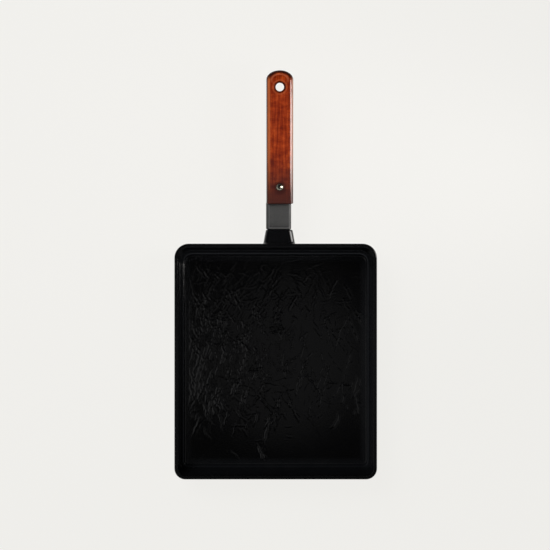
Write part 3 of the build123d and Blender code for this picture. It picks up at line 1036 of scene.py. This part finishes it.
def with_marked_end(stain, side, behind_hole):
    """The end's arc and the end grain, painted dark with painted shade, by an ellipse's share. Gives its
    mask.
    """
    outward = (behind_hole - END_CENTRE) * (1 / END_REACH)
    share = ((side * (1 / GRIP_HALF_WIDTH)) ** 2 + outward ** 2) ** 0.5
    end_grain_and_shade = share.step(*END_GRAIN) * behind_hole.step(*END_GRAIN_STARTS)
    stain = stain.painted(share.band(*ARC_BAND) * behind_hole.step(*ARC_STARTS), *ARC_PAINT)
    return stain.painted(end_grain_and_shade, *END_GRAIN_AND_SHADE_PAINT), end_grain_and_shade


def with_marked_holes(stain, side, behind_hole, behind_bolt, figure):
    """Rings round the hanging hole, the inner one painted shade, and painted shade round the bolt, by
    distance.
    """
    from_hole = (side ** 2 + behind_hole ** 2) ** 0.5
    from_bolt = ((side - BOLT_SIDE) ** 2 + behind_bolt ** 2) ** 0.5
    painted_shade = 1 - (from_bolt + BOLT_SHADE_WANDERS * (figure - 0.5)).step(*BOLT_SHADE)
    stain = stain.painted(from_hole.band(*HOLE_RING), *HOLE_RING_PAINT)
    stain = stain.painted(1 - from_hole.step(*HOLE_BEVEL), *HOLE_BEVEL_SHADE_PAINT)
    return stain.painted(painted_shade, *BOLT_SHADE_PAINT)


print(f"the end's ellipse has its middle {END_CENTRE / MM:.1f} mm behind the hole")

# %% [markdown]
# ## The varnished wood
# The grip is varnished over its stain. The varnish could be a second thin mesh, but the Principled shader
# has a coat for this: the wood below is dull, and the coat above it is smooth and mirrors the bright card.
# The varnish is thin where the wood is scorched and gone from the end grain.

# %% The varnished wood
SCORCH_FADES, SCORCH_WANDERS = mm(-100, -50), 10 * MM
SCORCH_PAINT = 0.94, (0.058, 0.0160, 0.0125, 1)
WOOD_ROUGHNESS, STREAKS_ROUGHER, PORES_ROUGHER = 0.38, 0.16, 0.15
STREAKS_RISE, FINE_RISE, PORES_SINK = 0.5, 0.3, 0.5
VARNISH, VARNISH_SCORCHED_LESS, VARNISH_END_LESS = 0.9, 0.3, 0.85


def wood_recipe(net):
    streaks, fine, figure, pores = wood_patterns(net)
    place = object_place(net, GRIP_LEVEL)
    side = axis_of(net, place, "X") - GRIP_OFFSET
    behind_hole = axis_of(net, place, "Y") - HOLE_AT
    behind_bolt = axis_of(net, place, "Y") - BOLT_AT
    near_top = axis_of(net, place, "Z").step(*TOP_STARTS)
    scorched = 1 - (behind_hole + SCORCH_WANDERS * (figure - 0.5)).step(*SCORCH_FADES)

    tone = STREAK_SHARE * streaks + FIGURE_SHARE * figure + FINE_SHARE * fine
    stain = net.node("ShaderNodeValToRGB", {"stops": STAIN_STOPS}, {"Fac": tone})
    # Painted light and shade on the edges, the end, the hole and the bolt
    stain = with_painted_edge_light(stain, side, near_top).painted(scorched, *SCORCH_PAINT)
    stain, end_grain_and_shade = with_marked_end(stain, side, behind_hole)
    stain = with_marked_holes(stain, side, behind_hole, behind_bolt, figure)
    height = STREAKS_RISE * streaks + FINE_RISE * fine - PORES_SINK * pores
    return {
        "Base Color": stain.painted(pores, *PORE_PAINT),
        "Specular IOR Level": 0.04,
        "Roughness": WOOD_ROUGHNESS + STREAKS_ROUGHER * streaks + PORES_ROUGHER * pores,
        "Coat Weight": (VARNISH - VARNISH_SCORCHED_LESS * scorched) * (1 - VARNISH_END_LESS * end_grain_and_shade),
        "Coat Roughness": 0.09,
        "Coat IOR": 1.7,
        "Normal": raised(net, height, strength=0.25, distance=0.06 * MM),
    }


varnished_wood = material("varnished_wood", wood_recipe)

# %% [markdown]
# ## Bright steel
# The bolt, the washer and the nut are plain steel, bright and a little yellow with age and heat. A perfect
# mirror would look too new, so soft noise makes spots that are darker, duller and slightly raised.

# %% The bright steel
SPOT_SIZE = 1.6 * MM
SPOTS_SHOW = (0.35, 0.75)
STEEL_COLOURS = (0.76, 0.70, 0.56, 1), (0.50, 0.43, 0.30, 1)
STEEL_ROUGHNESS, SPOTS_ROUGHER = 0.17, 0.14


def bright_recipe(net):
    spots = cloudy(net, object_place(net), SPOT_SIZE, detail=4, roughness=0.65)
    return {
        "Base Color": spots.step(*SPOTS_SHOW).mixed(*STEEL_COLOURS),
        "Metallic": 1.0,
        "Roughness": STEEL_ROUGHNESS + SPOTS_ROUGHER * spots,
        "Normal": raised(net, spots, strength=0.2, distance=0.03 * MM),
    }


bright_steel = material("bright_steel_finish", bright_recipe)

# %% [markdown]
# ## The pieces that stay
# The six other CAD pieces already have the right shape, down to their small roundings. They could be made
# again too, but nothing would be gained, so they only get their finishes.

# %% Finishes for the CAD pieces
for node, finish in {
    "handle_bracket": grey_coat,
    "bracket_rivets": grey_coat,
    "handle_grip": varnished_wood,
    "handle_bolt": bright_steel,
    "nut_washer": bright_steel,
    "handle_nut": bright_steel,
}.items():
    for material_slot in frame["nodes"][node].material_slots:
        material_slot.material = finish
    print(f"{node}: {finish.name}")
